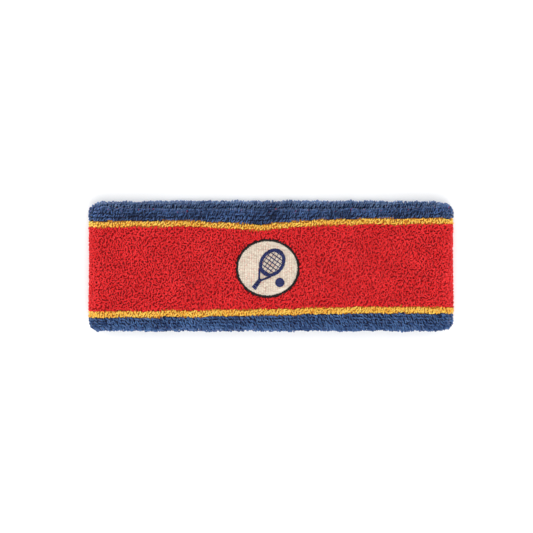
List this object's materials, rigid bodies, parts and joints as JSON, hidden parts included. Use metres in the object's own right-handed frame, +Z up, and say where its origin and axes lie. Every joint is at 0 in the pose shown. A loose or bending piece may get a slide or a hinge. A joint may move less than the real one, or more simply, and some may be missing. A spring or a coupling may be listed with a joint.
{
  "type": "sports headband",
  "caption": "Terry sports headband lying flat: knitted ring with striped pile, rolled edges, soft lining and an embroidered badge; its front panel pulls away from the back.",
  "frame": {"origin": "under the middle of the band, on the face that it lies on", "axes": "+X along the flat length, to the right as seen from the badge side; +Y across the width, towards the upper edge; +Z up, through the thickness, from the back panel to the badge"},
  "size_m": [0.18, 0.0642, 0.0154],
  "materials": {
    "red_pile": "matte cotton terry loops",
    "gold_pile": "matte cotton terry loops",
    "blue_pile": "matte cotton terry loops",
    "ground_knit": "fine plain knit behind the pile",
    "elastic_yarn": "covered elastic yarn",
    "seam_thread": "chain-stitched thread",
    "badge_fill_thread": "embroidery thread with a soft sheen, laid in rows",
    "badge_border_thread": "satin-stitched embroidery thread",
    "badge_motif_thread": "satin-stitched embroidery thread",
    "stabiliser": "non-woven backing"
  },
  "bodies": {
    "back_panel": {"back_red_pile_band": "red_pile", "back_upper_gold_stripe": "gold_pile", "back_lower_gold_stripe": "gold_pile", "back_upper_edge_roll": "blue_pile", "back_lower_edge_roll": "blue_pile", "back_upper_lining": "blue_pile", "back_lower_lining": "blue_pile", "back_linking_seam": "seam_thread", "back_ground_knit": "ground_knit", "back_elastic_yarn": "elastic_yarn", "back_left_outer_fold": "red_pile", "back_left_lining_fold": "blue_pile", "back_right_outer_fold": "red_pile", "back_right_lining_fold": "blue_pile"},
    "front_panel": {"front_red_pile_band": "red_pile", "front_upper_gold_stripe": "gold_pile", "front_lower_gold_stripe": "gold_pile", "front_upper_edge_roll": "blue_pile", "front_lower_edge_roll": "blue_pile", "front_upper_lining": "blue_pile", "front_lower_lining": "blue_pile", "front_linking_seam": "seam_thread", "front_ground_knit": "ground_knit", "front_elastic_yarn": "elastic_yarn", "front_left_outer_fold": "red_pile", "front_left_lining_fold": "blue_pile", "front_right_outer_fold": "red_pile", "front_right_lining_fold": "blue_pile", "badge_cream_fill": "badge_fill_thread", "badge_satin_border": "badge_border_thread", "badge_stabiliser": "stabiliser", "badge_racket_hoop": "badge_motif_thread", "badge_racket_strings": "badge_motif_thread", "badge_racket_handle": "badge_motif_thread", "badge_ball": "badge_motif_thread"}
  },
  "joints": [
    {"name": "ring_opening", "type": "slide", "parent": "back_panel", "child": "front_panel", "axis": [0, 0, 1], "range_m": [0, 0.07], "stiffness_N_per_m": 5}
  ]
}
